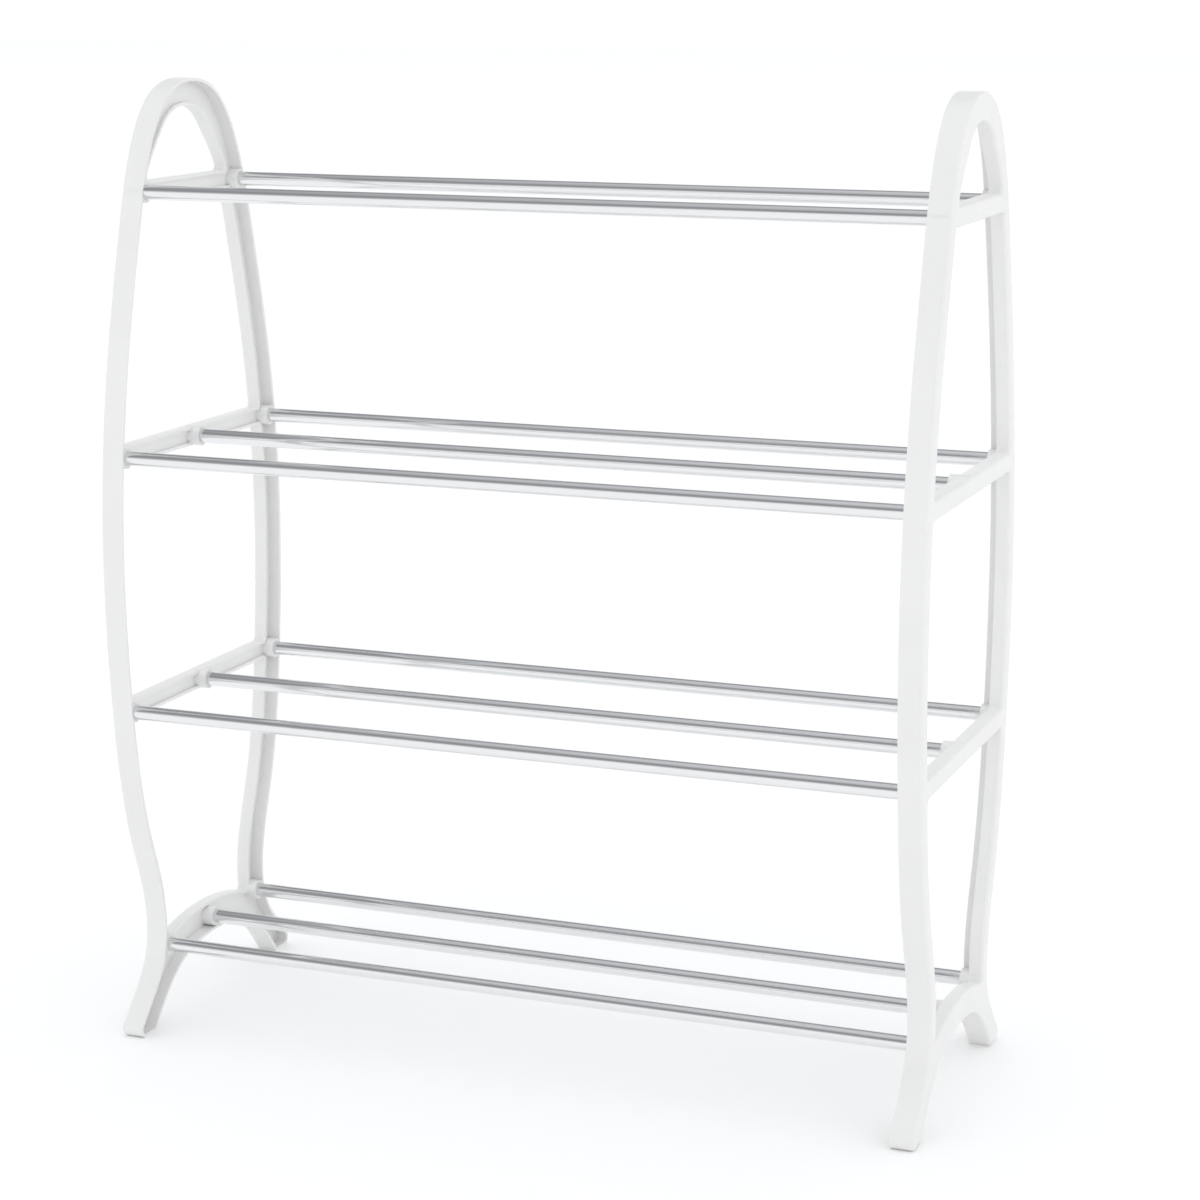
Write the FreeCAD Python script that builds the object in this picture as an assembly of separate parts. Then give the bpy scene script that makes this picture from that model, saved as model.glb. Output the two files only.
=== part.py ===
import FreeCAD, Part
import math
import os

# Tiered shoe rack: two identical moulded side frames joined by eleven steel tubes.
# Millimetres. +Z is up, +X runs along the tubes, +Y points to the back.
# The origin is on the floor, in the middle of the rack.

# ---- driving dimensions ----
INNER_SPAN = 520.0      # between the inner rims of the two side frames
FRAME_DEPTH = 15.5      # side frame, outer face to outer rim, along X
INNER_DEPTH = 9.5       # cross rails and inner flange, from the outer face
SKIN = 7.0              # thickness of the outer face behind the open channel
WALL = 2.0              # thickness of the rim and flanges
POST_WIDTH = 12.0       # post, seen from the side
CROWN_WIDTH = 18.0      # handle, at its top
HEIGHT = 634.0          # floor to the top of the handle
RAIL_HEIGHT = 12.5      # cross rails of tiers 1 to 3
EDGE_RADIUS = 2.2       # rounding of the outer face
CORNER_RADIUS = 3.0     # where rails meet posts

TUBE_DIAMETER = 9.5
TUBE_WALL = 0.5
TUBE_INSERTION = 12.0   # length of tube inside each socket
SOCKET_DIAMETER = 13.5
SOCKET_CLEARANCE = 0.05

# Tier name, height of its tubes, and half the distance from front tube to rear tube.
TIERS = (
    ("top", 563.5, 64.5),
    ("upper", 395.0, 99.5),
    ("lower", 225.5, 99.5),
    ("bottom", 54.0, 64.5),
)

# Outer outline of a side frame, rear half, as (y, z) from the top of the handle to the foot.
OUTLINE = (
    (0.0, HEIGHT),
    (30.0, 626.5),
    (50.0, 607.0),
    (74.5, 546.0),
    (98.5, 447.0),
    (110.4, 333.0),
    (105.6, 229.0),
    (87.0, 130.0),
    (70.8, 72.0),
    (75.5, 44.5),
    (89.5, 26.0),
)

# The foot runs on from the outline at this slope and ends in a round toe.
FOOT_REACH = 107.0
FOOT_SLOPE = math.radians(45.0)
TOE_RADIUS = 5.5

# Underside of the foot arch, rear half, from below the heel of the sole to the crown.
ARCH_UNDERSIDE = (
    (90.5, -4.0),
    (80.0, 10.0),
    (65.0, 25.0),
    (47.0, 37.0),
    (24.0, 43.5),
    (0.0, 45.0),
)

# Top of the foot arch, where it spans between the posts.
ARCH_TOP_HALF_SPAN = 75.0
ARCH_TOP_SPRING = 48.0
ARCH_TOP_CROWN = 63.5

# The handle thickens from POST_WIDTH to CROWN_WIDTH between these heights.
CROWN_BLEND_START = 568.0
CROWN_BLEND_END = 615.0

# Cutting shapes reach this far past the outline.
OVERREACH = 20.0

# Inner outline stops here, below the foot arch's top.
INNER_OUTLINE_FOOT = 25.0

# Edges are found by their place, to within this much.
TOLERANCE = 0.01

# Parallel curves pass through this many steps of the curve they follow.
CURVE_STEPS = 36

LEVEL = (1.0, 0.0)
FOOT_DIRECTION = (math.sin(FOOT_SLOPE), -math.cos(FOOT_SLOPE))


def point(y, z, x=0.0):
    """A point of the side frame's own plane."""
    return FreeCAD.Vector(x, y, z)


def mirrored(points):
    """The same (y, z) points on the other side of the middle."""
    return [(-y, z) for y, z in points]


def spline(points, start_tangent=None, end_tangent=None):
    """Smooth curve through (y, z) points."""
    curve = Part.BSplineCurve()
    vectors = [point(y, z) for y, z in points]
    if start_tangent and end_tangent:
        curve.interpolate(
            Points=vectors,
            InitialTangent=point(*start_tangent),
            FinalTangent=point(*end_tangent),
            Scale=False,
        )
    else:
        curve.interpolate(Points=vectors)
    return curve


def band_width(z):
    """Width of the outer band at a height: the post's, blending to the handle's."""
    span = CROWN_BLEND_END - CROWN_BLEND_START
    ratio = min(1.0, max(0.0, (z - CROWN_BLEND_START) / span))
    smooth = ratio * ratio * (3.0 - 2.0 * ratio)
    return POST_WIDTH + (CROWN_WIDTH - POST_WIDTH) * smooth


def beside(curve, gap_at):
    """Points along a curve, moved to its right by the gap that gap_at gives for their height."""
    points = []
    for step in range(CURVE_STEPS + 1):
        ratio = step / CURVE_STEPS
        parameter = curve.FirstParameter + (curve.LastParameter - curve.FirstParameter) * ratio
        place = curve.value(parameter)
        tangent = curve.tangent(parameter)[0]
        gap = gap_at(place.z)
        points.append((place.y + gap * tangent.z, place.z - gap * tangent.y))
    return points


def toe_point(angle, inset):
    """A point of the toe's arc, by its angle from the horizontal."""
    radius = TOE_RADIUS - inset
    y = FOOT_REACH - TOE_RADIUS + radius * math.cos(angle)
    return (y, TOE_RADIUS + radius * math.sin(angle))


def outline_curve():
    """Outer outline, rear half, from the top of the handle to the toe."""
    return spline(OUTLINE + (toe_point(FOOT_SLOPE, 0.0),), LEVEL, FOOT_DIRECTION)


def closed_face(edges):
    """A flat face bounded by the given edges."""
    return Part.Face(Part.Wire(Part.__sortEdges__(edges)))


def prism(edges):
    """The face that the edges bound, extruded over the frame's whole depth."""
    return closed_face(edges).extrude(FreeCAD.Vector(FRAME_DEPTH, 0, 0))


def envelope(inset):
    """Prism of the whole outline with a straight sole, moved inwards by the inset."""
    side = outline_curve()
    if inset > 0.0:
        side = spline(beside(side, lambda z: inset), LEVEL, FOOT_DIRECTION)
    toe_angles = (FOOT_SLOPE, (FOOT_SLOPE - math.pi / 2.0) / 2.0, -math.pi / 2.0)
    toe_points = [point(*toe_point(angle, inset)) for angle in toe_angles]
    middle = point(0.0, inset)
    rear = [
        side.toShape(),
        Part.Arc(*toe_points).toShape(),
        Part.LineSegment(toe_points[-1], middle).toShape(),
    ]
    front = [edge.mirror(middle, FreeCAD.Vector(0, 1, 0)) for edge in rear]
    return prism(rear + front)


def foot_arch(growth):
    """Prism of the space under the foot arch, grown all round."""
    whole = mirrored(ARCH_UNDERSIDE) + list(reversed(ARCH_UNDERSIDE))[1:]
    arch = spline(whole)
    if growth > 0.0:
        arch = spline(beside(arch, lambda z: -growth))
    ends = (arch.value(arch.FirstParameter), arch.value(arch.LastParameter))
    return prism([arch.toShape(), Part.LineSegment(*ends).toShape()])


def inner_region(growth):
    """Prism of everything that the handle and posts surround, grown all round."""
    half = beside(outline_curve(), lambda z: band_width(z) - growth)
    half = [place for place in half if place[1] > INNER_OUTLINE_FOOT]
    loop = spline(list(reversed(mirrored(half)))[:-1] + half)
    ends = (loop.value(loop.FirstParameter), loop.value(loop.LastParameter))
    return prism([loop.toShape(), Part.LineSegment(*ends).toShape()])


def slab(low, high):
    """Box over the whole frame between two heights."""
    side = FOOT_REACH + OVERREACH
    return Part.makeBox(FRAME_DEPTH, 2.0 * side, high - low, point(-side, low))


def above_foot_arch(growth):
    """Prism of the space above the foot arch's top edge, grown downwards."""
    half = ARCH_TOP_HALF_SPAN
    spring = ARCH_TOP_SPRING - growth
    side = FOOT_REACH + OVERREACH
    arc = Part.Arc(point(-half, spring), point(0.0, ARCH_TOP_CROWN - growth), point(half, spring))
    corners = [
        point(half, spring),
        point(side, spring),
        point(side, HEIGHT),
        point(-side, HEIGHT),
        point(-side, spring),
        point(-half, spring),
    ]
    edges = [arc.toShape()]
    for first, second in zip(corners, corners[1:]):
        edges.append(Part.LineSegment(first, second).toShape())
    return prism(edges)


def crosswise_edges(solid):
    """The straight edges that run along X, at the corners of a prism."""
    found = []
    for edge in solid.Edges:
        first = edge.Vertexes[0].Point
        last = edge.Vertexes[-1].Point
        if abs(abs(first.x - last.x) - FRAME_DEPTH) < TOLERANCE:
            found.append(edge)
    return found


def windows(growth):
    """The four openings of a side frame, as prisms grown all round: handle, then three bays."""
    inside = inner_region(growth)
    gap = RAIL_HEIGHT / 2.0 - growth
    top, upper, lower = [tier[1] for tier in TIERS[:3]]
    prisms = [
        inside.common(slab(top + gap, HEIGHT)),
        inside.common(slab(upper + gap, top - gap)),
        inside.common(slab(lower + gap, upper - gap)),
        inside.common(slab(0.0, lower - gap)).common(above_foot_arch(growth)),
    ]
    rounded = []
    for solid in [shape.Solids[0] for shape in prisms]:
        rounded.append(solid.makeFillet(CORNER_RADIUS, crosswise_edges(solid)))
    return rounded


def outer_face_edges(solid):
    """Edges that lie in the outer face, at X = 0."""
    found = []
    for edge in solid.Edges:
        if edge.BoundBox.XMax < TOLERANCE:
            found.append(edge)
    return found


def tube_places():
    """Name and (y, z) place of every tube."""
    places = []
    for index, (tier, z, half_spread) in enumerate(TIERS):
        places.append((tier + "_front_tube", (-half_spread, z)))
        if index > 0:
            places.append((tier + "_middle_tube", (0.0, z)))
        places.append((tier + "_rear_tube", (half_spread, z)))
    return places


def cylinder(diameter, start, end, place):
    """Cylinder along X from start to end, at a (y, z) place."""
    axis = FreeCAD.Vector(1, 0, 0)
    return Part.makeCylinder(diameter / 2.0, end - start, point(*place, start), axis)


def side_frame():
    """One moulding, with its outer face at X = 0 and its open side towards +X."""
    body = envelope(0.0).cut([foot_arch(0.0)] + windows(0.0))
    body = body.makeFillet(EDGE_RADIUS, outer_face_edges(body))

    # Everything inside the rim stands lower than the rim.
    inside_rim = envelope(WALL).cut(foot_arch(WALL))
    step = inside_rim.copy()
    step.translate(FreeCAD.Vector(INNER_DEPTH, 0, 0))

    # The open channel between the rim and the flanges.
    channel = inside_rim.cut(windows(WALL))
    channel.translate(FreeCAD.Vector(SKIN, 0, 0))
    body = body.cut([step, channel])

    # Sockets for the tubes stand up to the rim.
    places = [place for _, place in tube_places()]
    bosses = [cylinder(SOCKET_DIAMETER, SKIN / 2.0, FRAME_DEPTH, place) for place in places]
    trimmed = Part.makeCompound(bosses).common(envelope(0.0))
    body = body.fuse(trimmed)
    bore = TUBE_DIAMETER + 2.0 * SOCKET_CLEARANCE
    start = FRAME_DEPTH - TUBE_INSERTION
    body = body.cut([cylinder(bore, start, FRAME_DEPTH, place) for place in places])
    return body.removeSplitter()


def tube(place):
    """One thin-walled tube, along X."""
    end = INNER_SPAN / 2.0 + TUBE_INSERTION
    outside = cylinder(TUBE_DIAMETER, -end, end, place)
    return outside.cut(cylinder(TUBE_DIAMETER - 2.0 * TUBE_WALL, -end, end, place))


def export(shape, node):
    """Write one node and report its volume."""
    print(node, "valid", shape.isValid(), "solids", len(shape.Solids), "mm3", round(shape.Volume, 1))
    shape.exportStep("parts/" + node + ".step")


os.makedirs("parts", exist_ok=True)

left = side_frame().Solids[0]
left.translate(FreeCAD.Vector(-INNER_SPAN / 2.0 - FRAME_DEPTH, 0, 0))
export(left, "left_side_frame")

# The right frame is the same moulding, turned half a turn about the vertical.
right = left.copy()
right.rotate(FreeCAD.Vector(0, 0, 0), FreeCAD.Vector(0, 0, 1), 180.0)
export(right, "right_side_frame")

for name, place in tube_places():
    export(tube(place), name)
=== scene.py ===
"""Tiered shoe rack: two moulded white side frames joined by chromed steel tubes."""

import math

import bmesh
import bpy
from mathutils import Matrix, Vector


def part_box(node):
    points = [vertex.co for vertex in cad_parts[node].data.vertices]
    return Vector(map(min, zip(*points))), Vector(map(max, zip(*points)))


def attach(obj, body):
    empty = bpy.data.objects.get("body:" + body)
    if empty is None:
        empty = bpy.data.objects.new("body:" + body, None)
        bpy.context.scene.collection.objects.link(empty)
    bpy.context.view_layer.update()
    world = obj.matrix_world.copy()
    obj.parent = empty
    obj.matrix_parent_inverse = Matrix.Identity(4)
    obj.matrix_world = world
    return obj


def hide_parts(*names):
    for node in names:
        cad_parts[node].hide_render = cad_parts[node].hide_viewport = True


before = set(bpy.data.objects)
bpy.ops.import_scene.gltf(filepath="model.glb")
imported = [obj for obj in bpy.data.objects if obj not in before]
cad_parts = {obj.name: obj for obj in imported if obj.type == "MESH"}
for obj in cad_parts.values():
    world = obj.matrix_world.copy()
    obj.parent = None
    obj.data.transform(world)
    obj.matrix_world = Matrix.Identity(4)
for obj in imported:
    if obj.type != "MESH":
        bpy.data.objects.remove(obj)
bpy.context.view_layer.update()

MM = 0.001

# ---- sizes, in metres ----
TUBE_WALL = 0.5 * MM
TUBE_SEGMENTS = 72
LIP_RADIUS = 0.15 * MM          # rounding of a tube's cut ends
LIP_STEPS = 3
EDGE_BREAK = 0.3 * MM           # how far the mould rounds the frame's sharp edges
EDGE_BREAK_STEPS = 2
MERGE_DISTANCE = 0.01 * MM      # joins the CAD mesh's loose triangles
SHARP_ANGLE = math.radians(35.0)
LIP_SHADE_ANGLE = math.radians(15.0)

# ---- camera ----
CAMERA_AIM = (0.029, 0.0, 0.304)
CAMERA_DISTANCE = 1.92
CAMERA_AZIMUTH = math.radians(21.3)
CAMERA_ELEVATION = math.radians(12.35)
CAMERA_LENS = 88.7              # millimetres
CAMERA_NEAR = 0.05
CAMERA_FAR = 200.0

# ---- studio ----
FLOOR_HALF_SIZE = 20.0
ROOM_STRENGTH = 1.05
# The room by the sine of the elevation: bright walls, a dim band where wall meets ceiling for the
# chrome to mirror, and a paler ceiling.
ROOM_TONES = (
    (0.0, "FFFFFF"),
    (0.18, "F6F6F6"),
    (0.45, "A0A2A5"),
    (0.7, "8E9093"),
    (1.0, "D4D5D7"),
)
CEILING_SIZE = 80.0
CEILING_HEIGHT = 10.0
CEILING_POWER = 12400.0         # watts
SOFTBOX_PLACE = (2.4, -0.8, 1.5)
SOFTBOX_AIM = (0.0, 0.0, 0.3)
SOFTBOX_SIZE = 1.6
SOFTBOX_POWER = 2.0             # watts

# ---- grain of the finishes, in millimetres ----
CLOUDING_SIZE = 45.0            # where the melt flowed in the mould
HANDLING_SIZE = 18.0            # duller and glossier patches of the plastic
PEEL_SIZE = 1.6                 # skin copied from the mould
PEEL_DEPTH = 0.03
PLATING_SIZE = 30.0             # duller and brighter patches of the chrome
POLISH_SIZE = 0.6               # polishing lines, coarser than real so that they show
POLISH_DEPTH = 0.01


# ---- materials ----

def colour(text):
    """Linear colour, with alpha, from an sRGB hex value."""
    channels = []
    for start in (0, 2, 4):
        value = int(text[start:start + 2], 16) / 255.0
        linear = value / 12.92 if value <= 0.04045 else ((value + 0.055) / 1.055) ** 2.4
        channels.append(linear)
    return (*channels, 1.0)


def node(tree, kind, settings=None, links=None):
    """Adds a node, sets its attributes or inputs by name or number, and links its inputs."""
    made = tree.nodes.new(kind)
    for name, value in (settings or {}).items():
        if isinstance(name, str) and hasattr(made, name):
            setattr(made, name, value)
        else:
            made.inputs[name].default_value = value
    for name, source in (links or {}).items():
        tree.links.new(source, made.inputs[name])
    return made


def new_material(name):
    """A material with a surface shader, its tree and its object coordinates."""
    material = bpy.data.materials.new(name)
    material.use_nodes = True
    tree = material.node_tree
    tree.nodes.clear()
    place = node(tree, "ShaderNodeTexCoord").outputs["Object"]
    surface = node(tree, "ShaderNodeBsdfPrincipled")
    node(tree, "ShaderNodeOutputMaterial", links={"Surface": surface.outputs[0]})
    return material, tree, place, surface


def per_metre(size_mm):
    """Noise scale whose features are about this many millimetres across."""
    return 1.0 / (size_mm * MM)


def white_moulded_polystyrene():
    """Injection-moulded high-impact polystyrene: an even, soft-gloss white.

    The eye gets a broad soft highlight, very slight clouding where the melt flowed, a faint
    orange-peel skin copied from the mould, and dull handling patches.
    """
    material, tree, place, surface = new_material("white_moulded_polystyrene")
    surface.inputs["IOR"].default_value = 1.59
    surface.inputs["Subsurface Weight"].default_value = 0.08
    surface.inputs["Subsurface Radius"].default_value = (0.6 * MM, 0.5 * MM, 0.45 * MM)
    surface.inputs["Subsurface Scale"].default_value = 1.0
    clouding = node(tree, "ShaderNodeTexNoise", {"Scale": per_metre(CLOUDING_SIZE), "Detail": 3.0},
                    {"Vector": place})
    tint = node(tree, "ShaderNodeMix",
                {"data_type": "RGBA", 6: colour("E4E4E3"), 7: colour("EAEAE9")},
                {0: clouding.outputs["Fac"]})
    tree.links.new(tint.outputs[2], surface.inputs["Base Color"])
    patches = node(tree, "ShaderNodeTexNoise", {"Scale": per_metre(HANDLING_SIZE), "Detail": 4.0},
                   {"Vector": place})
    gloss = node(tree, "ShaderNodeMapRange",
                 {"From Min": 0.3, "From Max": 0.7, "To Min": 0.3, "To Max": 0.42},
                 {"Value": patches.outputs["Fac"]})
    tree.links.new(gloss.outputs[0], surface.inputs["Roughness"])
    skin = node(tree, "ShaderNodeTexNoise", {"Scale": per_metre(PEEL_SIZE), "Detail": 2.0},
                {"Vector": place})
    peel = node(tree, "ShaderNodeBump", {"Strength": 0.12, "Distance": PEEL_DEPTH * MM},
                {"Height": skin.outputs["Fac"]})
    tree.links.new(peel.outputs[0], surface.inputs["Normal"])
    return material


def chromed_steel_tube():
    """Cold-drawn steel tube, polished along its length and chrome plated.

    The eye gets a bright mirror drawn out along the tube, with a barely visible polishing grain
    and slightly duller patches.
    """
    material, tree, place, surface = new_material("chromed_steel_tube")
    surface.inputs["Base Color"].default_value = colour("EBECED")
    surface.inputs["Metallic"].default_value = 1.0
    patches = node(tree, "ShaderNodeTexNoise", {"Scale": per_metre(PLATING_SIZE), "Detail": 3.0},
                   {"Vector": place})
    gloss = node(tree, "ShaderNodeMapRange",
                 {"From Min": 0.35, "From Max": 0.65, "To Min": 0.1, "To Max": 0.16},
                 {"Value": patches.outputs["Fac"]})
    tree.links.new(gloss.outputs[0], surface.inputs["Roughness"])
    along = node(tree, "ShaderNodeMapping", {"Scale": (0.02, 1.0, 1.0)}, {"Vector": place})
    lines = node(tree, "ShaderNodeTexNoise", {"Scale": per_metre(POLISH_SIZE), "Detail": 2.0},
                 {"Vector": along.outputs[0]})
    grain = node(tree, "ShaderNodeBump", {"Strength": 0.08, "Distance": POLISH_DEPTH * MM},
                 {"Height": lines.outputs["Fac"]})
    tree.links.new(grain.outputs[0], surface.inputs["Normal"])
    return material


def pale_studio_floor():
    """Matt white paper: no texture, only soft shadows."""
    material, _, _, surface = new_material("pale_studio_floor")
    surface.inputs["Base Color"].default_value = colour("FAFAFA")
    surface.inputs["Roughness"].default_value = 0.9
    surface.inputs["Specular IOR Level"].default_value = 0.1
    return material


# ---- shared mesh work ----

def new_object(name, mesh):
    """An object at the world's origin, linked to the scene."""
    made = bpy.data.objects.new(name, mesh)
    bpy.context.scene.collection.objects.link(made)
    return made


def plain_mesh(source, name):
    """The evaluated object as a plain mesh."""
    bpy.context.view_layer.update()
    evaluated = source.evaluated_get(bpy.context.evaluated_depsgraph_get())
    mesh = bpy.data.meshes.new_from_object(evaluated)
    mesh.name = name
    return mesh


# ---- tubes ----

def tube_tree(material):
    """Geometry Nodes tree of one tube: its wall, with rolled lips, swept round the tube's axis."""
    tree = bpy.data.node_groups.new("shelf_tube", "GeometryNodeTree")
    sockets = tree.interface
    for name, kind in (("Length", "NodeSocketFloat"), ("Diameter", "NodeSocketFloat"),
                       ("Wall", "NodeSocketFloat"), ("Lip Radius", "NodeSocketFloat"),
                       ("Segments", "NodeSocketInt"), ("Centre", "NodeSocketVector")):
        sockets.new_socket(name, in_out="INPUT", socket_type=kind)
    sockets.new_socket("Tube", in_out="OUTPUT", socket_type="NodeSocketGeometry")
    sizes = node(tree, "NodeGroupInput").outputs

    path_diameter = node(tree, "ShaderNodeMath", {"operation": "SUBTRACT"},
                         {0: sizes["Diameter"], 1: sizes["Wall"]})
    path_radius = node(tree, "ShaderNodeMath", {"operation": "MULTIPLY", 1: 0.5},
                       {0: path_diameter.outputs[0]})
    ring = node(tree, "GeometryNodeCurvePrimitiveCircle", {"mode": "RADIUS"},
                {"Resolution": sizes["Segments"], "Radius": path_radius.outputs[0]})
    wall = node(tree, "GeometryNodeCurvePrimitiveQuadrilateral", {"mode": "RECTANGLE"},
                {"Width": sizes["Wall"], "Height": sizes["Length"]})
    lips = node(tree, "GeometryNodeFilletCurve", {"mode": "POLY", "Count": LIP_STEPS},
                {"Curve": wall.outputs[0], "Radius": sizes["Lip Radius"]})
    swept = node(tree, "GeometryNodeCurveToMesh", {},
                 {"Curve": ring.outputs[0], "Profile Curve": lips.outputs[0]})
    turned = node(tree, "GeometryNodeTransform", {"Rotation": (0.0, math.pi / 2.0, 0.0)},
                  {"Geometry": swept.outputs[0], "Translation": sizes["Centre"]})

    angle = node(tree, "GeometryNodeInputMeshEdgeAngle")
    crisp = node(tree, "FunctionNodeCompare",
                 {"data_type": "FLOAT", "operation": "GREATER_THAN", 1: LIP_SHADE_ANGLE},
                 {0: angle.outputs[0]})
    smooth = node(tree, "GeometryNodeSetShadeSmooth", {"domain": "FACE"},
                  {"Geometry": turned.outputs[0]})
    marked = node(tree, "GeometryNodeSetShadeSmooth", {"domain": "EDGE", "Shade Smooth": False},
                  {"Geometry": smooth.outputs[0], "Selection": crisp.outputs[0]})
    whole = node(tree, "GeometryNodeRealizeInstances", {}, {"Geometry": marked.outputs[0]})
    finished = node(tree, "GeometryNodeSetMaterial", {"Material": material},
                    {"Geometry": whole.outputs[0]})
    node(tree, "NodeGroupOutput", {}, {"Tube": finished.outputs[0]})
    return tree


def shelf_tube(name, tree):
    """The finished tube in the place of a CAD tube."""
    low, high = (Vector(corner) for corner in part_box(name))
    maker = new_object("tube_maker", bpy.data.meshes.new("tube_maker"))
    modifier = maker.modifiers.new("shelf_tube", "NODES")
    modifier.node_group = tree
    values = {
        "Length": high.x - low.x,
        "Diameter": high.z - low.z,
        "Wall": TUBE_WALL,
        "Lip Radius": LIP_RADIUS,
        "Segments": TUBE_SEGMENTS,
        "Centre": (low + high) / 2.0,
    }
    for item in tree.interface.items_tree:
        if item.item_type == "SOCKET" and item.name in values:
            modifier[item.identifier] = values[item.name]
    mesh = plain_mesh(maker, name + "_steel")
    bpy.data.objects.remove(maker)
    piece = new_object(name + "_steel", mesh)
    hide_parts(name)
    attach(piece, "root")


# ---- side frames ----

def side_frame(name, material):
    """A CAD side frame with its loose triangles merged and every sharp edge broken."""
    work = bmesh.new()
    work.from_mesh(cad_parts[name].data)
    bmesh.ops.remove_doubles(work, verts=work.verts, dist=MERGE_DISTANCE)
    mesh = bpy.data.meshes.new(name + "_moulding")
    work.to_mesh(mesh)
    work.free()
    mesh.materials.clear()
    mesh.materials.append(material)
    for face in mesh.polygons:
        face.material_index = 0
        face.use_smooth = True
    piece = new_object(name + "_moulding", mesh)
    bevel = piece.modifiers.new("edge_break", "BEVEL")
    bevel.width = EDGE_BREAK
    bevel.segments = EDGE_BREAK_STEPS
    bevel.limit_method = "ANGLE"
    bevel.angle_limit = SHARP_ANGLE
    bevel.use_clamp_overlap = True
    bevel.harden_normals = False
    weights = piece.modifiers.new("even_shading", "WEIGHTED_NORMAL")
    weights.keep_sharp = True
    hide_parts(name)
    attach(piece, "root")


# ---- studio ----

def square_light(name, place, aim, size, power):
    """A square area light, turned towards a point."""
    light = bpy.data.lights.new(name, "AREA")
    light.shape = "SQUARE"
    light.size = size
    light.energy = power
    lamp = new_object(name, light)
    lamp.location = place
    lamp.rotation_euler = (Vector(aim) - Vector(place)).to_track_quat("-Z", "Y").to_euler()
    return lamp


def studio():
    """Pale floor, a plain room, an even ceiling light and a weak softbox at the right."""
    work = bmesh.new()
    bmesh.ops.create_grid(work, x_segments=1, y_segments=1, size=FLOOR_HALF_SIZE)
    mesh = bpy.data.meshes.new("studio_floor")
    work.to_mesh(mesh)
    work.free()
    mesh.materials.append(pale_studio_floor())
    new_object("studio_floor", mesh)

    world = bpy.data.worlds.new("studio_world")
    bpy.context.scene.world = world
    world.use_nodes = True
    tree = world.node_tree
    tree.nodes.clear()
    direction = node(tree, "ShaderNodeTexCoord").outputs["Generated"]
    split = node(tree, "ShaderNodeSeparateXYZ", {}, {"Vector": direction})
    walls = node(tree, "ShaderNodeValToRGB", {}, {"Fac": split.outputs["Z"]})
    for position, _ in ROOM_TONES[1:-1]:
        walls.color_ramp.elements.new(position)
    for element, (position, text) in zip(walls.color_ramp.elements, ROOM_TONES):
        element.position = position
        element.color = colour(text)
    room = node(tree, "ShaderNodeBackground", {"Strength": ROOM_STRENGTH},
                {"Color": walls.outputs["Color"]})
    node(tree, "ShaderNodeOutputWorld", {}, {"Surface": room.outputs[0]})

    ceiling = square_light("ceiling_light", (0.0, 0.0, CEILING_HEIGHT), (0.0, 0.0, 0.0),
                           CEILING_SIZE, CEILING_POWER)
    ceiling.visible_glossy = False      # the chrome mirrors the room, not this light
    square_light("right_softbox", SOFTBOX_PLACE, SOFTBOX_AIM, SOFTBOX_SIZE, SOFTBOX_POWER)


def camera():
    """Camera at the product view: from the front right, a little above."""
    data = bpy.data.cameras.new("product_view")
    data.lens = CAMERA_LENS
    data.clip_start = CAMERA_NEAR
    data.clip_end = CAMERA_FAR
    made = bpy.data.objects.new("product_view", data)
    bpy.context.scene.collection.objects.link(made)
    away = Vector((
        math.sin(CAMERA_AZIMUTH) * math.cos(CAMERA_ELEVATION),
        -math.cos(CAMERA_AZIMUTH) * math.cos(CAMERA_ELEVATION),
        math.sin(CAMERA_ELEVATION),
    ))
    made.location = Vector(CAMERA_AIM) + away * CAMERA_DISTANCE
    made.rotation_euler = (math.pi / 2.0 - CAMERA_ELEVATION, 0.0, CAMERA_AZIMUTH)
    bpy.context.scene.camera = made


camera()
studio()
bpy.context.scene.view_settings.view_transform = "Standard"

plastic = white_moulded_polystyrene()
tube_nodes = tube_tree(chromed_steel_tube())
for node_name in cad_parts:
    if node_name.endswith("_tube"):
        shelf_tube(node_name, tube_nodes)
    else:
        side_frame(node_name, plastic)

bpy.context.view_layer.update()
